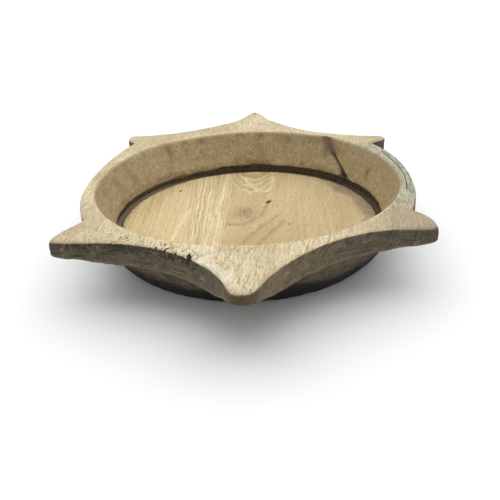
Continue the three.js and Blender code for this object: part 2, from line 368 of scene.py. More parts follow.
class Block:
    """The block's points and faces, and how far each point belongs to each zone.

    Places, depths below the rim and lifts above the wall's foot are in millimetres."""

    def __init__(self):
        rings = Rings()
        foot = gutter_rings(rings)
        wall_rings(rings, foot)
        rim_rings(rings)
        underside_rings(rings, BVHTree.FromPolygons(*polygons(BLOCK)))
        rows = len(rings.points)
        self.row_zones = np.array(rings.zones)
        ringed = np.concatenate(rings.points)
        floor, floor_quads = round_patch(rings.points[0], len(ringed))
        coarse = rings.points[-1][::2].copy()
        coarse[:, :2] = AXIS + (coarse[:, :2] - AXIS) * 0.975
        first = len(ringed) + len(floor)
        base, base_quads = round_patch(coarse, len(coarse))
        base_quads = base_quads[:, ::-1] + first
        last = (rows - 1) * COLUMNS
        k = np.arange(BASE_COLUMNS)
        after = (k + 1) % BASE_COLUMNS
        joins = [last + 2 * k, first + k, first + after, last + 2 * after, last + 2 * k + 1]
        self.points = np.concatenate([ringed, floor, coarse, base])
        self.faces = [ring_quads(rows, COLUMNS), floor_quads, base_quads, np.stack(joins, -1)]
        self.patch_sizes = len(floor), len(coarse) + len(base)
        self.places = self.points / MM
        self.below_rim = (RIM_HEIGHT - self.points[:, 2]) / MM
        self.lift = (self.points[:, 2] - FOOT_HEIGHT) / MM
        self.bearing = np.arctan2(*(self.points[:, :2] - AXIS).T[::-1])
        self.radius = np.hypot(*(self.points[:, :2] - AXIS).T)

    def weight(self, *zones):
        """1 on the given zones and 0 elsewhere, eased where they meet."""
        rows = soften(np.isin(self.row_zones, zones).astype(float))
        floor, base = self.patch_sizes
        ends = [np.full(floor, float(FLOOR in zones)), np.full(base, float(BASE in zones))]
        return np.concatenate([np.repeat(rows, COLUMNS), *ends])


def make_object(name, points, faces):
    mesh = bpy.data.meshes.new(name)
    mesh.from_pydata(points.tolist(), [], [face for part in faces for face in part.tolist()])
    mesh.shade_smooth()
    obj = bpy.data.objects.new(name, mesh)
    bpy.context.scene.collection.objects.link(obj)
    return obj


def normals_of(obj):
    flat = np.zeros(len(obj.data.vertices) * 3, np.float32)
    obj.data.vertex_normals.foreach_get("vector", flat)
    return flat.reshape(-1, 3).astype(float)


def move_points(obj, points):
    obj.data.vertices.foreach_set("co", points.astype(np.float32).ravel())
    obj.data.update()


def set_mask(obj, name, values):
    """Keeps a value from 0 to 1 at each point, for the materials to read."""
    layer = obj.data.attributes.new(name, "FLOAT", "POINT")
    layer.data.foreach_set("value", np.clip(values, 0, 1).astype(np.float32))


# ---- where things are on the block, in metres from the frame's origin ----
KNOT_LOW, KNOT_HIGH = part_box("pin_knot")
KNOT = np.array((KNOT_LOW + KNOT_HIGH)[:2]) / 2
KNOT_EDGE = slice_loops(FLOOR_HEIGHT - 1 * MM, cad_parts["pin_knot"])[0] - KNOT
KNOT_REACH = np.hypot(*KNOT_EDGE.T)
KNOT_ALONG = KNOT_EDGE[np.argmax(KNOT_REACH)] / KNOT_REACH.max()
KNOT_AXES = np.array([KNOT_ALONG, [-KNOT_ALONG[1], KNOT_ALONG[0]]])
KNOT_HALVES = np.array([KNOT_REACH.max(), KNOT_REACH.min()])
CRACK_LOW, CRACK_HIGH = (corner.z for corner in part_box("crack_filling"))


def crack_course():
    """Heights up the crack, with the bearing of its middle and half its width at each."""
    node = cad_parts["crack_filling"]
    heights = np.linspace(CRACK_LOW + 0.2 * MM, CRACK_HIGH - 0.2 * MM, 24)
    middles, halves = [], []
    for height in heights:
        loop = slice_loops(height, node)[0] - AXIS
        bearings = np.arctan2(loop[:, 1], loop[:, 0])
        middles.append((bearings.max() + bearings.min()) / 2)
        halves.append((bearings.max() - bearings.min()) / 2 * wall_radius(height))
    return heights, np.array(middles), np.array(halves)


CRACK_HEIGHTS, CRACK_MIDDLES, CRACK_HALVES = crack_course()


def crack_at(height):
    """The bearing of the crack's middle at a height, and half its width there."""
    middle = np.interp(height, CRACK_HEIGHTS, CRACK_MIDDLES)
    return middle, np.interp(height, CRACK_HEIGHTS, CRACK_HALVES)


# These places, and the distances to them, are in millimetres from the frame's origin.
SWIRL = [float(axis) / MM + shift for axis, shift in zip(AXIS, (-4, 9))]
WORM_HOLES = [(-86, 69.5, 1.9), (-37, -6.5, 0.9), (50, -7, 0.9), (41.5, -30.5, 0.9),
              (41, -46, 0.9), (61, -33, 0.9), (-62, -52, 0.8)]
EDGE_HOLE = (-41, -181)
EDGE_SPLITS = [[(-67, -177), (-59, -166)], [(-56, -181), (-52, -175)], [(-73, -171), (-70, -166)]]
SAPWOOD_SPLIT = [(149, 60), (153, 40), (158, 12), (160, -14), (158, -38), (155, -56)]
FIBROUS_EDGE = [(-39, -185), (-27, -194), (-16, -208), (-8, -223)]
FIBROUS_PATCH = (-33, -174)
CHECKED_EDGE = [(-112, -147), (-90, -157), (-66, -169), (-40, -181)]
DARK_GRAIN = [
    [(19, 24), (12, -10), (-6, -30), (-26, -28)],
    [(29, -10), (9, -44), (-6, -74), (-14, -92)],
    [(36, -24), (18, -60), (10, -78)],
]
PALE_GRAIN = [
    [(-12, 108), (0, 77), (8, 61), (18, 60), (24, 74), (24, 104)],
    [(-31, 116), (-33, 45), (-37, 12), (-31, -20), (-32, -80)],
    [(-44, 0), (-40, -20), (-41, -57), (-43, -84)],
    [(-68, 10), (-73, -22), (-77, -62)],
]
BROWN_PATCH = (4, -62)
# Stains on the inner wall: bearing in degrees, height, half length along the wall, half height.
WALL_STAINS = [(86, 65, 4.5, 4), (72.5, 61, 3, 4), (96, 67, 5, 2.5), (52.6, 52, 2.5, 6),
               (24.7, 47, 3, 4), (64, 36, 3.5, 3), (114, 63, 5, 4), (131, 60, 4, 6)]
GREY_STAIN = (61, 65, 11, 6)


def distance_to(block, path):
    """Distance in plan from each point to the nearest part of a broken line."""
    plan = block.places[:, :2]
    best = np.full(len(plan), np.inf)
    for start, end in zip(np.array(path[:-1]), np.array(path[1:])):
        span = end - start
        share = np.clip(((plan - start) @ span) / (span @ span), 0, 1)
        best = np.minimum(best, np.hypot(*(plan - start - share[:, None] * span).T))
    return best


def distance_to_spot(block, spot):
    return np.hypot(*(block.places[:, :2] - spot).T)


def near(distance, reach):
    """1 at no distance, easing to about a third at `reach` and to 0 beyond."""
    return np.exp(-((distance / reach) ** 2))


def crack_offset(block):
    """Distance along the wall from the crack's middle, and half the crack's width there."""
    height = block.points[:, 2]
    middle, half = crack_at(height)
    return (block.bearing - middle) * wall_radius(height) / MM, half / MM


# ---- the carver's marks and the years of use ----
def tool_facets(places, size, seed):
    """0 in the middle of each shallow tool cut and 1 on the ridges between them."""
    rng = np.random.default_rng(seed)
    low, high = places.min(0), places.max(0)
    squash = np.array([1, 1, 0.6])
    cells = np.ceil((high - low) * squash / size).astype(int) + 1
    grid = np.stack(np.meshgrid(*map(np.arange, cells), indexing="ij"), -1).reshape(-1, 3)
    seeds = low * squash + (grid + rng.uniform(0, 1, grid.shape)) * size
    tree = kdtree.KDTree(len(seeds))
    for i, place in enumerate(seeds):
        tree.insert(place, i)
    tree.balance()
    gaps = np.array([[found[2] for found in tree.find_n(p, 2)] for p in places * squash])
    return np.clip(1 - (gaps[:, 1] - gaps[:, 0]) / (0.55 * size), 0, 1)


def hewn_depth(block):
    """The outer faces: overlapping adze cuts, slow waves and torn fibres."""
    hewn = block.weight(SIDE, UNDER, OUTSIDE)
    cut = hewn > 0.02
    facets = np.zeros(len(hewn))
    facets[cut] = tool_facets(block.places[cut], 17, 21)
    waves = 0.45 * (1 + noise(block.places, 45, 22))
    torn = 0.16 * noise(block.places, 3.2, 23)
    return hewn * (0.9 * (1 - facets) ** 2 + waves + torn)


def hollow_depth(block):
    """The inner wall, scraped in upright strokes, and the floor, scraped along the grain."""
    places = block.places
    strokes = np.column_stack([block.bearing * 12, block.points[:, 2] * 14, np.zeros(len(places))])
    wall = 0.3 * noise(strokes, 1, 24) + 0.35 * noise(places, 38, 25)
    floor = 0.35 * noise(places, 70, 29) + 0.1 * noise(places * (1, 0.12, 1), 6, 30)
    return block.weight(WALL) * wall + block.weight(FLOOR) * floor


def rim_depth(block):
    """The level rim: worn into slow dips, with weathered grain standing a little proud."""
    places = block.places
    worn = 0.5 * (1 + noise(places, 55, 26)) + 0.22 * noise(places, 11, 27)
    weathered = 0.12 * noise(places * (1, 0.12, 1), 2.4, 28)
    return block.weight(LIP, RIM, EDGE) * (worn + weathered)


def hole_mask(block):
    """Worm holes in the floor, and the open hole and splits at the front left edge."""
    holes = [near(distance_to_spot(block, (x, y)), size) for x, y, size in WORM_HOLES]
    upper = block.weight(RIM, EDGE, SIDE) * smoothstep(11, 0, block.below_rim)
    across, along = np.abs(block.places[:, :2] - EDGE_HOLE).T / np.array([[2.6], [6]])
    opening = upper * (1 - smoothstep(0.7, 1.15, across + along))
    splits = [near(distance_to(block, path), 1.1) for path in EDGE_SPLITS]
    splits = 0.18 * block.weight(RIM, EDGE) * np.max(splits, 0)
    return np.max([block.weight(FLOOR) * np.max(holes, 0), opening, splits], 0)


def groove_mask(block):
    """The long split between the sapwood and the heartwood on the right rim."""
    ragged = 0.5 + 0.5 * noise(block.places, 9, 33)
    return block.weight(RIM, EDGE) * near(distance_to(block, SAPWOOD_SPLIT), 1.1) * ragged


def crack_mask(block):
    """1 in the middle of the crack in the wall, easing to 0 just past its edges."""
    height = block.places[:, 2]
    offset, half = crack_offset(block)
    across = 1 - smoothstep(0.7, 1.5, np.abs(offset) / (half + 0.4))
    across *= 1 - 0.4 * smoothstep(50, 56, height)
    inside = smoothstep(-3, 0, height - CRACK_LOW / MM)
    return across * inside * (block.radius < RIM_RADIUS + 2 * MM) * block.weight(WALL, LIP, GUTTER)


def knot_mask(block):
    reach = (block.points[:, :2] - KNOT) @ KNOT_AXES.T / (KNOT_HALVES + 0.4 * MM)
    return block.weight(FLOOR) * np.exp(-(np.hypot(*reach.T) ** 4))


def checked_mask(block):
    """The front left edge, where weather has opened the grain and broken the corner."""
    worst = 1 - smoothstep(5, 13, distance_to(block, CHECKED_EDGE))
    return worst * block.weight(RIM, EDGE, SIDE) * smoothstep(16, 4, block.below_rim)


def fibrous_mask(block):
    """Chalky torn fibres beside the front left edge."""
    strip = near(distance_to(block, FIBROUS_EDGE), 4.2)
    patch = near(distance_to_spot(block, FIBROUS_PATCH), 9)
    ragged = 0.75 + 0.7 * noise(block.places * (1, 0.5, 1), 4, 34)
    return block.weight(RIM, EDGE) * np.maximum(strip, 0.8 * patch) * ragged


def carve_block(block):
    """Builds the block's mesh and works every mark into it."""
    obj = make_object("carved_block", block.points, block.faces)
    marks = {
        "hole": hole_mask(block),
        "groove": groove_mask(block),
        "crack": crack_mask(block),
        "knot": knot_mask(block),
        "fibrous": fibrous_mask(block),
        "checked": checked_mask(block),
    }
    torn = 0.5 + 0.5 * noise(block.places * (1, 0.2, 1), 2.2, 35)
    broken = smoothstep(0, 0.5, noise(block.places * (1, 0.5, 0.6), 3.4, 36))
    depth = hewn_depth(block) + hollow_depth(block) + rim_depth(block)
    depth += 3 * marks["hole"] + 0.9 * marks["groove"] + 2.2 * marks["crack"] + 1.4 * marks["knot"]
    depth += 0.8 * marks["fibrous"] * torn
    depth += 1.5 * marks["checked"] * broken * (0.25 + block.weight(EDGE, SIDE))
    points = block.points - normals_of(obj) * depth[:, None] * MM
    low, high = np.array(cad_box[0]) + SKIN, np.array(cad_box[1]) - SKIN
    points = np.clip(points, low, high)
    points[:, 2] = np.where(block.weight(BASE) > 0.9, low[2], points[:, 2])
    move_points(obj, points)
    for name, values in marks.items():
        set_mask(obj, name, values)
    return obj


def wall_spots(block, stains):
    """Soft spots at the given bearings and heights on the inner wall."""
    total = 0
    for bearing, height, half_length, half_height in stains:
        along = turn_from(bearing, block.bearing) * RIM_RADIUS / MM / half_length
        up = (block.places[:, 2] - height) / half_height
        total = np.maximum(total, np.exp(-(along ** 2 + up ** 2)))
    return block.weight(WALL) * total


def floor_masks(block):
    """The floor's dark and pale grain lines and its brown patch."""
    floor = block.weight(FLOOR)
    dark = np.min([distance_to(block, path) for path in DARK_GRAIN], 0)
    pale = np.min([distance_to(block, path) for path in PALE_GRAIN], 0)
    return {
        "floor": floor,
        "dark_grain": floor * near(dark, 2.4),
        "pale_grain": floor * near(pale, 2.8),
        "brown_patch": floor * near(distance_to_spot(block, BROWN_PATCH), 34),
    }


def gutter_masks(block):
    """Soot and painted shade in the gutter's undercut corner, and the dirt and damp that have
    spread from it.
    """
    places, floor, wall = block.places, block.weight(FLOOR), block.weight(WALL)
    ragged = 1.6 * noise(places, 17, 42) + 0.9 * noise(places, 4, 43)
    edge_gap = (FLOOR_RADIUS - block.radius) / MM
    floor_halo = floor * (1 - smoothstep(0, 5, edge_gap + 2 * ragged))
    wall_halo = wall * (1 - smoothstep(-1, 6, block.lift + 2.5 * ragged))
    to_right = smoothstep(0.6, 0.9, np.cos(block.bearing - 0.1))
    turn = np.degrees(block.bearing) % 360
    thin_left = 3.6 * smoothstep(105, 112, turn + 3 * ring_noise(block.bearing, 20, 40))
    soot_and_shade_level = block.lift + ragged + thin_left - 4 * near(crack_offset(block)[0], 8)
    return {
        # The dark gutter line is soot and painted shade of the undercut corner.
        "gutter": (block.weight(GUTTER) + wall) * smoothstep(2.4, -2, soot_and_shade_level),
        "halo": wall_halo + 0.7 * floor_halo,
        "damp": floor * to_right * (1 - smoothstep(6, 18, edge_gap + 4 * ragged)),
    }


def wall_masks(block):
    """Stains on the inner wall, round the crack and where the sapwood crosses it, and the painted
    shade at the crack's foot.
    """
    x, _, z = block.places.T
    offset, half = crack_offset(block)
    spread = half + 1.5 + 6 * smoothstep(46, 58, z)
    blotches = 0.85 + 0.5 * noise(block.places, 6, 45)
    foot = block.weight(WALL, GUTTER) * smoothstep(9, 3, block.lift)
    return {
        "wall": block.weight(WALL, GUTTER),
        "greyed_wall": block.weight(WALL) * smoothstep(120, 128, x) * smoothstep(56, 68, z),
        "wall_stain": wall_spots(block, WALL_STAINS),
        "grey_stain": wall_spots(block, [GREY_STAIN]),
        "crack_stain": near(offset - 2, spread) * blotches * block.weight(WALL, LIP),
        "crack_foot": foot * near(offset, 3.4),
    }


def sapwood_mask(block):
    """The right side of the rim, up to the split, with a ragged end at the front and back."""
    x, y, _ = block.places.T
    across, along = np.array(SAPWOOD_SPLIT).T
    past_split = x + 0.8 * noise(block.places, 9, 44) - np.interp(-y, -along, across)
    ragged_end = 9 * noise(block.places, 9, 50)
    length = smoothstep(94, 84, y + ragged_end)
    length *= smoothstep(-98, -84, y - 0.4 * (x - 150) + ragged_end)
    strength = 0.72 + 0.28 * smoothstep(0, 1.5, past_split)
    return smoothstep(120, 128, x) * length * block.weight(LIP, RIM, EDGE) * strength


def rim_masks(block):
    """Grey, pink and stained wood on the level rim."""
    x, y, _ = block.places.T
    top = block.weight(RIM, EDGE)
    front_right = smoothstep(95, 135, x) * smoothstep(-70, -110, y)
    sides = smoothstep(122, 165, np.abs(x + 8 * noise(block.places, 20, 51)))
    return {
        "level": block.weight(LIP, RIM, EDGE),
        "sapwood": sapwood_mask(block),
        "back_lugs": top * smoothstep(60, 110, np.abs(x)) * smoothstep(60, 95, y),
        "grey": top * (front_right + 0.5 * smoothstep(0.1, 0.6, noise(block.places, 40, 47))),
        "pink": top * sides * smoothstep(-60, -125, y),
        "point_stain": top * near(distance_to_spot(block, (0, 237)), 5),
    }


def outside_masks(block):
    """Dirt and painted shade on the side faces and the outer wall, darkest towards the foot, and
    the tones of the front faces.
    """
    places, below = block.places, block.below_rim
    x, y, _ = places.T
    side = block.weight(SIDE, EDGE)
    rounder = smoothstep(176, 205, np.hypot(x, y))
    # The rounded edge darkens as it turns down from the top: painted shade.
    edge = block.weight(EDGE) * smoothstep(1, 2.4, below * (1 - 0.3 * rounder))
    outer = block.weight(SIDE, UNDER, OUTSIDE, BASE) + edge
    foot = below + 4 * noise(places, 24, 46) + 1.5 * noise(places, 7, 49)
    tip = smoothstep(226, 238, -y + 2 * noise(places, 6, 48)) * (0.55 + 0.45 * near(x - 2, 8))
    front_left = smoothstep(-25, -50, x) * smoothstep(-110, -130, y)
    return {
        # The outer faces are darkened partly for dirt and partly as painted shade of faces turned
        # from the light.
        "dirt_and_shade": outer * (0.875 + 0.125 * noise(places, 26, 41)),
        # Near-black towards the bottom of the outer wall: part stain, part painted shade.
        "stained_and_shaded_foot": outer * smoothstep(40, 54, foot),
        "tip_stain": tip * smoothstep(1, 4, below),
        "ridge": block.weight(UNDER) * block.weight(SIDE) * 4,
        "pale_side": side * smoothstep(-130, -190, y) * smoothstep(-45, 10, x),
        "dark_side": side * smoothstep(13, 5, below) * front_left,
    }


# ---- the small bodies seated in the block ----
def round_axis(bearing, radius, height):
    """Points at bearings round the bowl's axis, one to a row."""
    across, along = AXIS[0] + radius * np.cos(bearing), AXIS[1] + radius * np.sin(bearing)
    return np.stack([across, along, np.broadcast_to(height, across.shape)], -1)


def residue_piece():
    """Old dirt and wax in the gutter: a crusty ring that climbs a little up its outer wall."""
    turns, steps = 720, 9
    bearing = np.arange(turns) / turns * 2 * math.pi
    inner = FLOOR_RADIUS + 1.6 * MM + 0.5 * MM * ring_noise(bearing, 70, 51)
    outer = np.full(turns, GUTTER_RADIUS - 0.5 * MM)
    low = GUTTER_HEIGHT + 0.3 * MM
    rows = []
    for t in np.linspace(0, 1, steps):
        radius = inner + (outer - inner) * t
        crust = low + 1.1 * MM + 1.6 * MM * t ** 2 + 0.5 * MM * ring_noise(bearing, 48 + 9 * t, 52)
        lumps = noise(round_axis(bearing, radius, 0) - (*AXIS, 0), 2.6 * MM, 53)
        rows.append((radius, crust + 0.45 * MM * lumps))
    rows.append((outer, np.full(turns, low)))
    rows.append((inner, np.full(turns, low)))
    points = [round_axis(bearing, radius, height) for radius, height in rows]
    points.append(points[0])
    quads = ring_quads(len(points), turns)
    total = (len(points) - 1) * turns
    obj = make_object("gutter_crust", np.concatenate(points[:-1]), [quads % total])
    return obj, np.tile(bearing, len(points) - 1)


def crack_piece():
    """What fills the crack: a rough strip that lies lowest along its edges."""
    rows, across = 120, 13
    heights = np.linspace(CRACK_LOW + 0.4 * MM, RIM_HEIGHT - 1.2 * MM, rows)
    u = np.linspace(-1, 1, across)
    height, u = np.meshgrid(heights, u, indexing="ij")
    middle, half = crack_at(height)
    bearing = middle + u * half / wall_radius(height)
    ripple = noise(np.stack([bearing * 150, height * 600, u * 0], -1), 1, 54)
    recess = 0.9 * MM + 1.6 * MM * u ** 4 + 0.35 * MM * ripple
    front = wall_radius(height) + recess
    back = wall_radius(height) + 4.2 * MM
    sheets = [round_axis(bearing, radius, height).reshape(-1, 3) for radius in (front, back)]
    ids = np.arange(rows * across).reshape(rows, across)
    face = np.stack([ids[:-1, :-1], ids[1:, :-1], ids[1:, 1:], ids[:-1, 1:]], -1).reshape(-1, 4)
    border = np.concatenate([ids[0, :-1], ids[:-1, -1], ids[-1, :0:-1], ids[:0:-1, 0]])
    after = np.roll(border, -1)
    count = rows * across
    sides = np.stack([border, after, after + count, border + count], -1)
    return make_object("crack_crust", np.concatenate(sheets), [face, face[:, ::-1] + count, sides])


def knot_piece():
    """The dead knot: a small oval plug with a sunken, cracked top."""
    turns, rings = 48, 10
    angle = np.arange(turns) / turns * 2 * math.pi
    edge = np.column_stack([np.cos(angle), np.sin(angle)]) * KNOT_HALVES @ KNOT_AXES
    edge *= (0.97 + 0.08 * ring_noise(angle, 12, 55))[:, None]
    top = FLOOR_HEIGHT - 0.35 * MM
    points = []
    for t in np.linspace(0.08, 1, rings):
        checks = 0.35 * MM * np.maximum(ring_noise(angle, 30, 56), 0) * t
        height = top - 0.5 * MM * t ** 3 - checks - 0.25 * MM * (1 - t) ** 2
        points.append(np.column_stack([KNOT + edge * t, height]))
    points.append(np.column_stack([KNOT + edge, np.full(turns, KNOT_LOW.z + 1 * MM)]))
    rows = len(points)
    ids = np.arange(turns)
    quads = ring_quads(rows, turns)
    caps = [ids[None, :], ids[None, ::-1] + (rows - 1) * turns]
    return make_object("knot_plug", np.concatenate(points), [quads, *caps])


def face_outward(obj):
    bm = bmesh.new()
    bm.from_mesh(obj.data)
    bmesh.ops.recalc_face_normals(bm, faces=bm.faces)
    bm.to_mesh(obj.data)
    bm.free()
    obj.data.shade_smooth()


# ---- materials ----
def tone(red, green, blue):
    """A display colour from 0 to 255, as the linear values that shaders take."""
    linear = [((c / 255 + 0.055) / 1.055) ** 2.4 for c in (red, green, blue)]
    return (*linear, 1)


class Value:
    """What a node gives. Arithmetic on it adds math nodes to the same tree."""

    def __init__(self, nodes, socket):
        self.nodes = nodes
        self.socket = socket

    def __add__(self, other):
        return self.nodes.math("ADD", self, other)

    def __sub__(self, other):
        return self.nodes.math("SUBTRACT", self, other)

    def __rsub__(self, other):
        return self.nodes.math("SUBTRACT", other, self)

    def __mul__(self, other):
        return self.nodes.math("MULTIPLY", self, other)

    def __truediv__(self, other):
        return self.nodes.math("DIVIDE", self, other)

    def __pow__(self, power):
        return self.nodes.math("POWER", self, power)

    def __abs__(self):
        return self.nodes.math("ABSOLUTE", self)

    def band(self, low, high, to_low=0, to_high=1):
        """Eases from one number to another as this value passes from low to high."""
        inputs = {0: self, 1: low, 2: high, 3: to_low, 4: to_high}
        return self.nodes.add("MapRange", inputs, interpolation_type="SMOOTHSTEP")


class Nodes:
    """Builds a material's node tree from short calls. Lengths in it are in millimetres."""

    def __init__(self, name):
        self.material = bpy.data.materials.new(name)
        self.material.use_nodes = True
        self.tree = self.material.node_tree
        self.shader = self.tree.nodes["Principled BSDF"]
        self.place = self.vector("MULTIPLY", self.add("TexCoord", {}, "Object"), (1 / MM,) * 3)
        self.across, self.along, self.height = (
            self.add("SeparateXYZ", {0: self.place}, axis) for axis in "XYZ"
        )

    def add(self, kind, inputs, output=0, **settings):
        node = self.tree.nodes.new("ShaderNode" + kind)
        for key, value in settings.items():
            setattr(node, key, value)
        for key, value in inputs.items():
            self.put(value, node.inputs[key])
        return Value(self, node.outputs[output])

    def put(self, value, socket):
        if isinstance(value, Value):
            self.tree.links.new(value.socket, socket)
        else:
            socket.default_value = value

    def math(self, operation, *values):
        return self.add("Math", dict(enumerate(values)), operation=operation)

    def vector(self, operation, *values):
        return self.add("VectorMath", dict(enumerate(values)), operation=operation)

    def mask(self, name):
        return self.add("Attribute", {}, "Fac", attribute_name=name)

    def broken(self, name, texture, low, high, least=0, most=1):
        """A mask that is broken up by a texture."""
        return self.mask(name) * texture.band(low, high, least, most)

    def largest(self, first, *others):
        total = first
        for other in others:
            total = self.math("MAXIMUM", total, other)
        return total

    def noise(self, size, stretch=(1, 1, 1), detail=2, rough=0.5):
        """Noise from 0 to 1 with features `size` across, longer where stretch is small."""
        where = self.vector("MULTIPLY", self.place, stretch)
        inputs = {"Vector": where, "Scale": 1 / size, "Detail": detail, "Roughness": rough}
        return self.add("TexNoise", inputs)

    def line_noise(self, value):
        """Noise from 0 to 1 that changes with one number only."""
        return self.add("TexNoise", {"W": value, "Scale": 1, "Detail": 1}, noise_dimensions="1D")

    def dashes(self, size, turn):
        """Short thin strokes, all slanting `turn` degrees from the grain."""
        where = self.add("VectorRotate", {"Vector": self.place, "Angle": math.radians(turn)},
                         rotation_type="Z_AXIS")
        where = self.vector("MULTIPLY", where, (1, 0.2, 1))
        strokes = self.add("TexNoise", {"Vector": where, "Scale": 1 / size, "Detail": 1})
        return strokes.band(0.6, 0.68)

    def stroke(self, start, end, half_width):
        """1 on a straight line between two points in plan, easing off at its edges."""
        span_x, span_y = end[0] - start[0], end[1] - start[1]
        away_x, away_y = self.across - start[0], self.along - start[1]
        share = (away_x * span_x + away_y * span_y) / (span_x ** 2 + span_y ** 2)
        share = self.add("Clamp", {"Value": share})
        gap = (away_x - share * span_x) ** 2 + (away_y - share * span_y) ** 2
        return self.math("SQRT", gap).band(half_width + 0.35, half_width - 0.25)

    def strokes(self, paths, half_width):
        """1 on every line of some broken lines."""
        pairs = [pair for path in paths for pair in zip(path[:-1], path[1:])]
        return self.largest(*(self.stroke(start, end, half_width) for start, end in pairs))

    def mix(self, factor, first, second):
        return self.add("Mix", {0: factor, 6: first, 7: second}, 2, data_type="RGBA")

    def layers(self, colour, rows):
        """Lays tones over a colour: each row is a tone, its strength, a value and maybe a band."""
        for paint, strength, value, *limits in rows:
            cover = value.band(*limits) if limits else value
            colour = self.mix(cover * strength, colour, tone(*paint))
        return colour

    def finish(self, colour, roughness, relief):
        """Connects colour, roughness and relief, a height in millimetres, to the shader."""
        self.put(colour, self.shader.inputs["Base Color"])
        self.put(roughness, self.shader.inputs["Roughness"])
        bump = self.add("Bump", {"Height": relief, "Strength": 1, "Distance": MM})
        self.put(bump, self.shader.inputs["Normal"])
        self.shader.inputs["Specular IOR Level"].default_value = 0.25
        return self.material


PITH_SIDE = 8            # mm: the tree's pith runs just over the back rim, along the bowl
PITH_LEAN = 0.12         # how fast it drifts to the left towards the front
PITH_RISE = 0.1          # how fast it climbs towards the front
PITH_START = 147.5       # mm: where it meets the back wall
RING_SPACING = 3.3       # mm, beside the pith
RING_SQUASH = 1.35       # how much closer the rings are below it


def ring_phase(nodes):
    """How many growth rings lie between a point and the pith, how near the point is to the
    swirl (0 to 1), and how far it lies to the side of the pith."""
    x, y, z = nodes.across, nodes.along, nodes.height
    slow = nodes.noise(80, (1, 0.5, 1), 1) - 0.5
    sway = nodes.noise(22, (1, 0.3, 1), 1) - 0.5
    ahead = PITH_START - y
    across = x - (ahead * -PITH_LEAN + PITH_SIDE) + slow * 15 + sway * 6
    from_swirl = ((x - SWIRL[0]) / 20) ** 2 + ((y - SWIRL[1]) / 26) ** 2
    bulge = nodes.math("EXPONENT", from_swirl * -1)
    climb = ahead * PITH_RISE + RIM_HEIGHT / MM
    up = (climb - z + bulge * -7) * RING_SQUASH
    radius = nodes.math("SQRT", across ** 2 + up ** 2)
    wander = nodes.noise(6, (1, 0.25, 1)) * 0.9
    phase = radius / RING_SPACING + nodes.line_noise(radius * 0.09) * 3.4 + wander
    return phase, bulge, across


def rings(nodes):
    """Late wood in thin dark lines, some years far darker, the pale lines beside it, and the
    swirl that they bend round."""
    phase, bulge, across = ring_phase(nodes)
    part = nodes.math("FRACT", phase)
    dark_line = part.band(0.45, 0.9) * part.band(1.0, 0.93)
    pale_line = part.band(0, 0.1) * part.band(0.4, 0.12)
    strong = nodes.line_noise(phase * 0.43).band(0.42, 0.66, 0.14, 1)
    shown = nodes.noise(40, (1, 0.4, 1), 1).band(0.3, 0.7, 0.3, 1)
    plain_floor = nodes.mask("floor") * abs(across + 15).band(26, 48, 0, 0.72)
    plain_wall = nodes.mask("wall") * abs(across).band(18, 80, 0.1, 0.8)
    shown = shown * (1 - nodes.largest(plain_floor, plain_wall, bulge * 0.8))
    return dark_line * strong * shown, pale_line * shown, bulge


class Grain:
    """The textures and masks that every part of the block shares."""

    def __init__(self, nodes):
        self.late, self.early, self.bulge = rings(nodes)
        self.fibres = nodes.noise(1.0, (1, 0.06, 1), 3, 0.65)
        self.streaks = nodes.noise(3.6, (1, 0.04, 1), 3, 0.6)
        self.straw = nodes.noise(1.15, (1, 0.07, 1), 3, 0.75)
        self.mottle = nodes.noise(2.2, (1, 0.4, 1), 3, 0.75)
        self.broad = nodes.noise(58, (1, 0.4, 1))
        self.scratches = nodes.noise(1.2, (1, 1, 0.3), 3, 0.75)
        self.speckle = nodes.noise(1.5, (1, 1, 1), 3, 0.7)
        self.pores = nodes.noise(0.8, (1, 0.13, 1), 1).band(0.64, 0.72)
        self.level = nodes.mask("level")
        self.wall = nodes.mask("wall")


def floor_figure(nodes):
    """Wavy streaks left of the floor's middle: 0 to 1, dark to pale, and where they show."""
    across = nodes.across + (nodes.across + 30) * nodes.along * -0.0012
    waver = nodes.noise(17, (1, 0.5, 1), 3) * 3
    streak = nodes.line_noise(across * 0.42 + waver)
    patchy = nodes.noise(20, (1, 0.4, 1)).band(0.35, 0.6, 0.25, 1)
    return streak, across.band(-86, -58) * across.band(-20, -30) * patchy * nodes.mask("floor")


def floor_wood(nodes, grain):
    """Clean wood, with the floor's figure, its grain lines, the swirl and the brown patch."""
    streak, inside = floor_figure(nodes)
    cloudy = nodes.noise(2.6, (1, 0.3, 1), 3, 0.7).band(0.3, 0.62)
    pore_rows = nodes.mask("dark_grain") * 0.5 + 0.38
    colour = nodes.mix(grain.broad.band(0.3, 0.7), tone(212, 188, 142), tone(188, 164, 120))
    return nodes.layers(colour, [
        ((220, 200, 154), 0.7, grain.streaks, 0.35, 0.66),
        ((184, 162, 120), 0.5, nodes.across, -85, -15),
        ((160, 134, 94), 0.5, grain.mottle, 0.5, 0.75),
        ((168, 144, 106), 0.6, inside * streak.band(0.47, 0.36)),
        ((238, 226, 190), 0.65, inside * streak.band(0.52, 0.62)),
        ((232, 218, 176), 0.5, grain.early),
        ((132, 104, 66), 0.36, grain.late),
        ((106, 82, 52), 1, grain.pores * pore_rows),
        ((108, 82, 56), 0.72, grain.bulge ** 2.4 * nodes.mask("floor") * cloudy),
        ((122, 94, 62), 0.55, nodes.mask("dark_grain") * cloudy),
        ((238, 224, 186), 0.6, nodes.broken("pale_grain", grain.mottle, 0.3, 0.6)),
        ((172, 140, 96), 0.5, nodes.broken("brown_patch", grain.streaks, 0.3, 0.7, 0.5)),
    ])


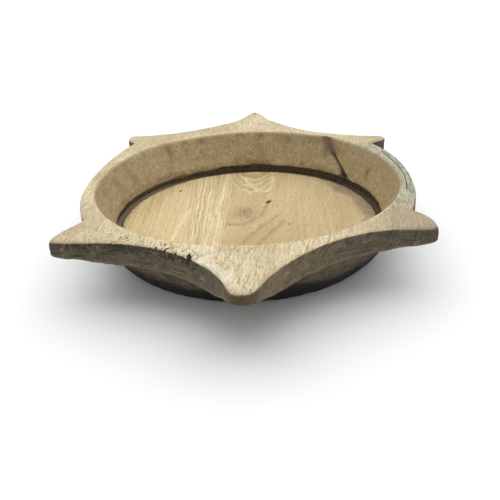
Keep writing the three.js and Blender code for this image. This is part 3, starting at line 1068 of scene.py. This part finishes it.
def rim_wood(nodes, grain):
    """The level rim, bleached, with straw-like fibres."""
    colour = nodes.mix(grain.late * 0.75, tone(224, 208, 170), tone(156, 132, 94))
    return nodes.layers(colour, [
        ((240, 230, 204), 0.4, grain.early),
        ((176, 157, 120), 0.8, grain.fibres, 0.42, 0.68),
        ((238, 228, 202), 0.6, grain.straw, 0.48, 0.36),
        ((160, 140, 102), 0.7, grain.straw, 0.52, 0.64),
        ((240, 230, 204), 0.4, grain.mottle, 0.47, 0.34),
        ((150, 130, 98), 0.6, grain.mottle, 0.56, 0.7),
        ((190, 172, 138), 0.7, grain.broad, 0.5, 0.72),
        ((182, 170, 130), 0.6, nodes.broken("back_lugs", grain.mottle, 0.3, 0.6, 0.5)),
    ])


def wall_wood(nodes, grain):
    """The inner wall, darker than the floor partly as painted shade, scraped up and down, and
    stained.
    """
    brushed = nodes.noise(3.6, (1, 1, 0.35), 3, 0.75)
    shade = nodes.noise(15, (1, 1, 0.6), 3, 0.65)
    # The wall's base tones are darker than the floor's: partly its own tone, partly painted shade.
    colour = nodes.mix(grain.late * 0.75, tone(166, 147, 113), tone(122, 102, 73))
    return nodes.layers(colour, [
        ((200, 181, 148), 0.8, grain.early),
        ((108, 91, 63), 0.85, grain.scratches, 0.5, 0.62),
        ((204, 184, 146), 0.7, grain.scratches, 0.47, 0.34),
        ((122, 105, 72), 0.6, brushed, 0.5, 0.66),
        ((194, 174, 132), 0.5, brushed, 0.48, 0.34),
        ((122, 104, 76), 0.6, shade, 0.46, 0.68),
        ((76, 58, 42), 0.9, nodes.broken("wall_stain", grain.mottle, 0.3, 0.6, 0.5)),
        ((116, 108, 90), 0.8, nodes.mask("grey_stain")),
        ((150, 146, 126), 0.6, nodes.mask("greyed_wall")),
    ])


def sapwood(nodes, grain):
    """The greyed sapwood on the right side of the rim."""
    sap_grain = nodes.noise(2.2, (1, 0.16, 1), 3, 0.7)
    colour = nodes.mix(sap_grain.band(0.42, 0.62), tone(178, 175, 156), tone(132, 127, 108))
    return nodes.layers(colour, [((104, 99, 86), 0.8, grain.speckle, 0.58, 0.68)])


def weathered_and_shaded_outside(nodes, grain):
    """Dirt, age and painted shade on the side faces and the outer wall: colour and relief."""
    worn = nodes.noise(6, (0.6, 0.6, 1), 5, 0.85)
    strata = nodes.noise(1.4, (0.06, 0.06, 1), 2, 0.6)
    upright = nodes.noise(1.9, (1, 1, 0.2), 2, 0.6)
    patches = nodes.noise(17)
    clouds = nodes.noise(24, rough=0.6)
    lined = strata.band(0.5, 0.64) * patches.band(0.4, 0.56)
    tooled = upright.band(0.52, 0.66) * patches.band(0.54, 0.4)
    # Dark outer tones: dirt, and painted shade of faces turned from the light.
    dirt_and_shade_colour = nodes.mix(clouds.band(0.35, 0.65), tone(110, 98, 74), tone(90, 82, 68))
    dirt_and_shade_colour = nodes.layers(dirt_and_shade_colour, [
        ((78, 74, 67), 0.5, abs(nodes.across), 40, 120),
        ((44, 38, 31), 0.9, worn, 0.52, 0.66),
        ((154, 139, 108), 0.85, worn, 0.46, 0.3),
        ((52, 45, 36), 0.6, lined),
        ((50, 43, 35), 0.6, tooled),
        ((142, 127, 96), 0.4, nodes.broken("pale_side", worn, 0.3, 0.6, 1, 0.6)),
        ((44, 40, 36), 0.75, nodes.broken("dark_side", upright + worn, 0.8, 1.15)),
        ((34, 29, 24), 0.85, grain.speckle, 0.56, 0.66),
        ((50, 42, 32), 0.6, grain.late),
        ((124, 110, 82), 0.4, grain.fibres, 0.56, 0.72),
    ])
    return dirt_and_shade_colour, worn * 0.9 + (lined + tooled) * -0.2 + grain.speckle * 0.3


def worm_spots(nodes):
    """The round mouths of the worm holes."""
    spots = []
    for x, y, size in WORM_HOLES:
        far = nodes.math("SQRT", (nodes.across - x) ** 2 + (nodes.along - y) ** 2)
        spots.append(far.band(size + 0.4, size - 0.3))
    return nodes.largest(*spots) * nodes.mask("floor")


def edge_opening(nodes):
    """The mouth of the open hole on the front left edge, a diamond in plan."""
    x, y = EDGE_HOLE
    reach = abs(nodes.across - x) / 2.3 + abs(nodes.along - y) / 6
    return reach.band(1.15, 0.8) * nodes.height.band(RIM_HEIGHT / MM - 10, RIM_HEIGHT / MM - 7)


def openings(nodes, grain):
    """How dark the holes, the crack and the splits are, from 0 to 1: painted shade of their
    depths.
    """
    foot, rim = FOOT_HEIGHT / MM, RIM_HEIGHT / MM
    ragged = grain.speckle.band(0.3, 0.5, 0.4, 0.85) * grain.level
    return nodes.largest(
        nodes.mask("hole"),
        nodes.mask("crack") * nodes.height.band(foot + 14, foot + 26, 0.75, 0.28),
        nodes.mask("crack_foot") * 0.55,
        nodes.strokes(EDGE_SPLITS, 0.8) * nodes.height.band(rim - 4, rim - 2),
        nodes.strokes([SAPWOOD_SPLIT], 0.5) * ragged,
        edge_opening(nodes),
        worm_spots(nodes),
    )


def carved_wood(name):
    """The whole block: clean wood, then weather, dirt with painted shade, soot with painted shade
    and stains in that order.
    """
    nodes = Nodes(name)
    grain = Grain(nodes)
    speckle, dirt_and_shade = grain.speckle, nodes.mask("dirt_and_shade")
    pits = nodes.noise(1.7, (1, 0.45, 1), 3, 0.7).band(0.6, 0.68)
    pitted = pits * nodes.noise(30).band(0.35, 0.6, 0.25, 1) * grain.level
    torn = nodes.broken("fibrous", speckle, 0.3, 0.55)
    checks = nodes.dashes(1.3, 38) * nodes.mask("checked").band(0.05, 0.6)
    dirt_and_shade_colour, dirt_relief = weathered_and_shaded_outside(nodes, grain)
    # Dark gutter tones: soot, and painted shade of the undercut corner.
    soot_and_shade = nodes.mix(speckle.band(0.3, 0.6), tone(126, 110, 90), tone(68, 60, 50))
    soot_and_shade_cover = nodes.mask("gutter") + speckle * 0.5

    colour = nodes.mix(grain.level * 0.85, floor_wood(nodes, grain), rim_wood(nodes, grain))
    colour = nodes.mix(grain.wall * 0.75, colour, wall_wood(nodes, grain))
    colour = nodes.layers(colour, [
        ((88, 70, 46), 0.8, pitted),
        ((250, 245, 228), 0.95, torn),
        ((142, 126, 104), 0.75, nodes.broken("grey", speckle, 0.25, 0.65, 0.4)),
        ((168, 146, 122), 0.5, nodes.broken("pink", speckle, 0.3, 0.6, 0.5)),
        ((112, 86, 68), 1, nodes.mask("point_stain")),
    ])
    colour = nodes.mix(nodes.mask("sapwood"), colour, sapwood(nodes, grain))
    # The outer faces take the darker colour: dirt and painted shade.
    colour = nodes.mix((dirt_and_shade + speckle * 0.3).band(0.1, 0.8), colour, dirt_and_shade_colour)
    colour = nodes.layers(colour, [
        # Painted shade in the opened checks.
        ((48, 38, 27), 0.85, checks),
        ((142, 130, 104), 0.55, nodes.broken("ridge", speckle, 0.35, 0.6)),
        # Near-black foot of the outer wall: part stain, part painted shade.
        ((32, 26, 22), 1, nodes.mask("stained_and_shaded_foot")),
        ((76, 61, 38), 1, nodes.broken("tip_stain", speckle, 0.25, 0.6, 0.7)),
        ((112, 84, 58), 1, nodes.broken("halo", speckle, 0.3, 0.7, 0.4, 0.9)),
        ((130, 110, 90), 0.85, nodes.broken("damp", speckle, 0.3, 0.65, 0.5)),
        ((118, 84, 60), 0.6, soot_and_shade_cover, 0.35, 0.75),
    ])
    colour = nodes.mix(soot_and_shade_cover.band(0.6, 1.0), colour, soot_and_shade)
    colour = nodes.layers(colour, [
        ((94, 74, 68), 1, nodes.broken("crack_stain", speckle, 0.3, 0.6, 0.75)),
        ((120, 92, 60), 0.5, nodes.mask("knot")),
        # Painted shade inside the holes, the crack and the splits.
        ((54, 41, 34), 1, openings(nodes, grain), 0.2, 0.75),
    ])

    relief = grain.late * 0.1 + grain.fibres * (grain.level * 0.3 + 0.14) + grain.pores * -0.16
    relief = relief + (grain.mottle + grain.straw) * grain.level * 0.3
    relief = relief + grain.scratches * grain.wall * 0.35 + dirt_relief * dirt_and_shade
    relief = relief + pitted * -0.4 + checks * -0.6 + torn * 0.35
    return nodes.finish(colour, grain.fibres * 0.2 + dirt_and_shade * 0.06 + 0.68, relief)


def crust(name, dark, light, accent, pale):
    """Dried dirt: grains of two tones, patches of a third, and a paler tone where masked."""
    nodes = Nodes(name)
    grains = nodes.noise(1.3, (1, 1, 1), 3, 0.7)
    patches = nodes.noise(9).band(0.45, 0.65)
    colour = nodes.mix(grains.band(0.35, 0.7), tone(*dark), tone(*light))
    colour = nodes.layers(colour, [(accent, 0.6, patches), (pale, 0.8, nodes.mask("pale"))])
    return nodes.finish(colour, grains * 0.15 + 0.75, grains * 0.6 + patches * 0.3)


def knot_wood(name):
    nodes = Nodes(name)
    rough = nodes.noise(0.8, (1, 1, 0.4), 3, 0.6)
    colour = nodes.mix(rough.band(0.3, 0.7), tone(52, 38, 26), tone(92, 68, 44))
    return nodes.finish(colour, rough * 0.2 + 0.6, rough * 0.3)


def plain(name, colour):
    nodes = Nodes(name)
    nodes.shader.inputs["Base Color"].default_value = colour
    nodes.shader.inputs["Roughness"].default_value = 0.8
    return nodes.material


# ---- making and placing the pieces ----
def seat(obj, node, material):
    """Puts a finished piece in the place of its CAD node."""
    obj.data.materials.append(material)
    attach(obj, "root")
    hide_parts(node)


def make_bowl():
    block = Block()
    body = carve_block(block)
    for masks in (floor_masks, gutter_masks, wall_masks, rim_masks, outside_masks):
        for name, values in masks(block).items():
            set_mask(body, name, values)
    seat(body, "bowl_body", carved_wood("weathered_wood"))
    ring, bearing = residue_piece()
    face_outward(ring)
    left = smoothstep(0.2, 0.9, -np.cos(bearing))
    right = smoothstep(0.6, 0.95, np.cos(bearing))
    set_mask(ring, "pale", 0.9 * left + 0.15 * right)
    crust_tones = (52, 43, 33), (96, 80, 60), (66, 52, 40), (132, 116, 92)
    seat(ring, "groove_residue", crust("gutter_crust", *crust_tones))
    filling = crack_piece()
    face_outward(filling)
    heights = np.array([vert.co.z for vert in filling.data.vertices])
    set_mask(filling, "pale", smoothstep(46 * MM, 60 * MM, heights))
    filling_tones = (50, 38, 31), (84, 64, 54), (68, 52, 48), (126, 104, 92)
    seat(filling, "crack_filling", crust("crack_crust", *filling_tones))
    knot = knot_piece()
    face_outward(knot)
    seat(knot, "pin_knot", knot_wood("dead_knot"))


# ---- camera, floor and light ----
def aim(obj, azimuth, elevation, roll):
    """Turns an object to look along a heading from +Y towards +X and down, in degrees."""
    turn, down, lean = (math.radians(a) for a in (azimuth, elevation, roll))
    ahead = Vector((math.sin(turn) * math.cos(down), math.cos(turn) * math.cos(down),
                    -math.sin(down)))
    right = ahead.cross(Vector((0, 0, 1))).normalized()
    up = right.cross(ahead)
    side = right * math.cos(lean) + up * math.sin(lean)
    top = up * math.cos(lean) - right * math.sin(lean)
    turned = Matrix((side, top, -ahead)).transposed().to_4x4()
    obj.matrix_world = Matrix.Translation(obj.location) @ turned


def make_camera():
    data = bpy.data.cameras.new("camera")
    data.sensor_width = 36
    data.lens = 44.11
    camera = bpy.data.objects.new("camera", data)
    camera.location = (0.03244, -0.60944, 0.2988)
    aim(camera, -3.24, 27.76, -2.75)
    bpy.context.scene.collection.objects.link(camera)
    bpy.context.scene.camera = camera


def make_studio():
    """A pale floor under a wide soft light from above and a little behind."""
    points = np.array([(-1, -1, 0), (1, -1, 0), (1, 1, 0), (-1, 1, 0)]) * 40.0
    floor = make_object("floor", points, [np.array([[0, 1, 2, 3]])])
    floor.data.materials.append(plain("floor_paint", (0.9, 0.9, 0.9, 1)))
    data = bpy.data.lights.new("softbox", "SUN")
    data.energy = 1.75
    data.angle = math.radians(100)
    light = bpy.data.objects.new("softbox", data)
    light.rotation_euler = (math.radians(-22), math.radians(3), 0)
    bpy.context.scene.collection.objects.link(light)
    world = bpy.data.worlds.new("studio")
    world.use_nodes = True
    background = world.node_tree.nodes["Background"]
    background.inputs["Color"].default_value = (0.98, 0.99, 1, 1)
    background.inputs["Strength"].default_value = 0.72
    bpy.context.scene.world = world
    bpy.context.scene.view_settings.view_transform = "Standard"


make_bowl()
make_camera()
make_studio()
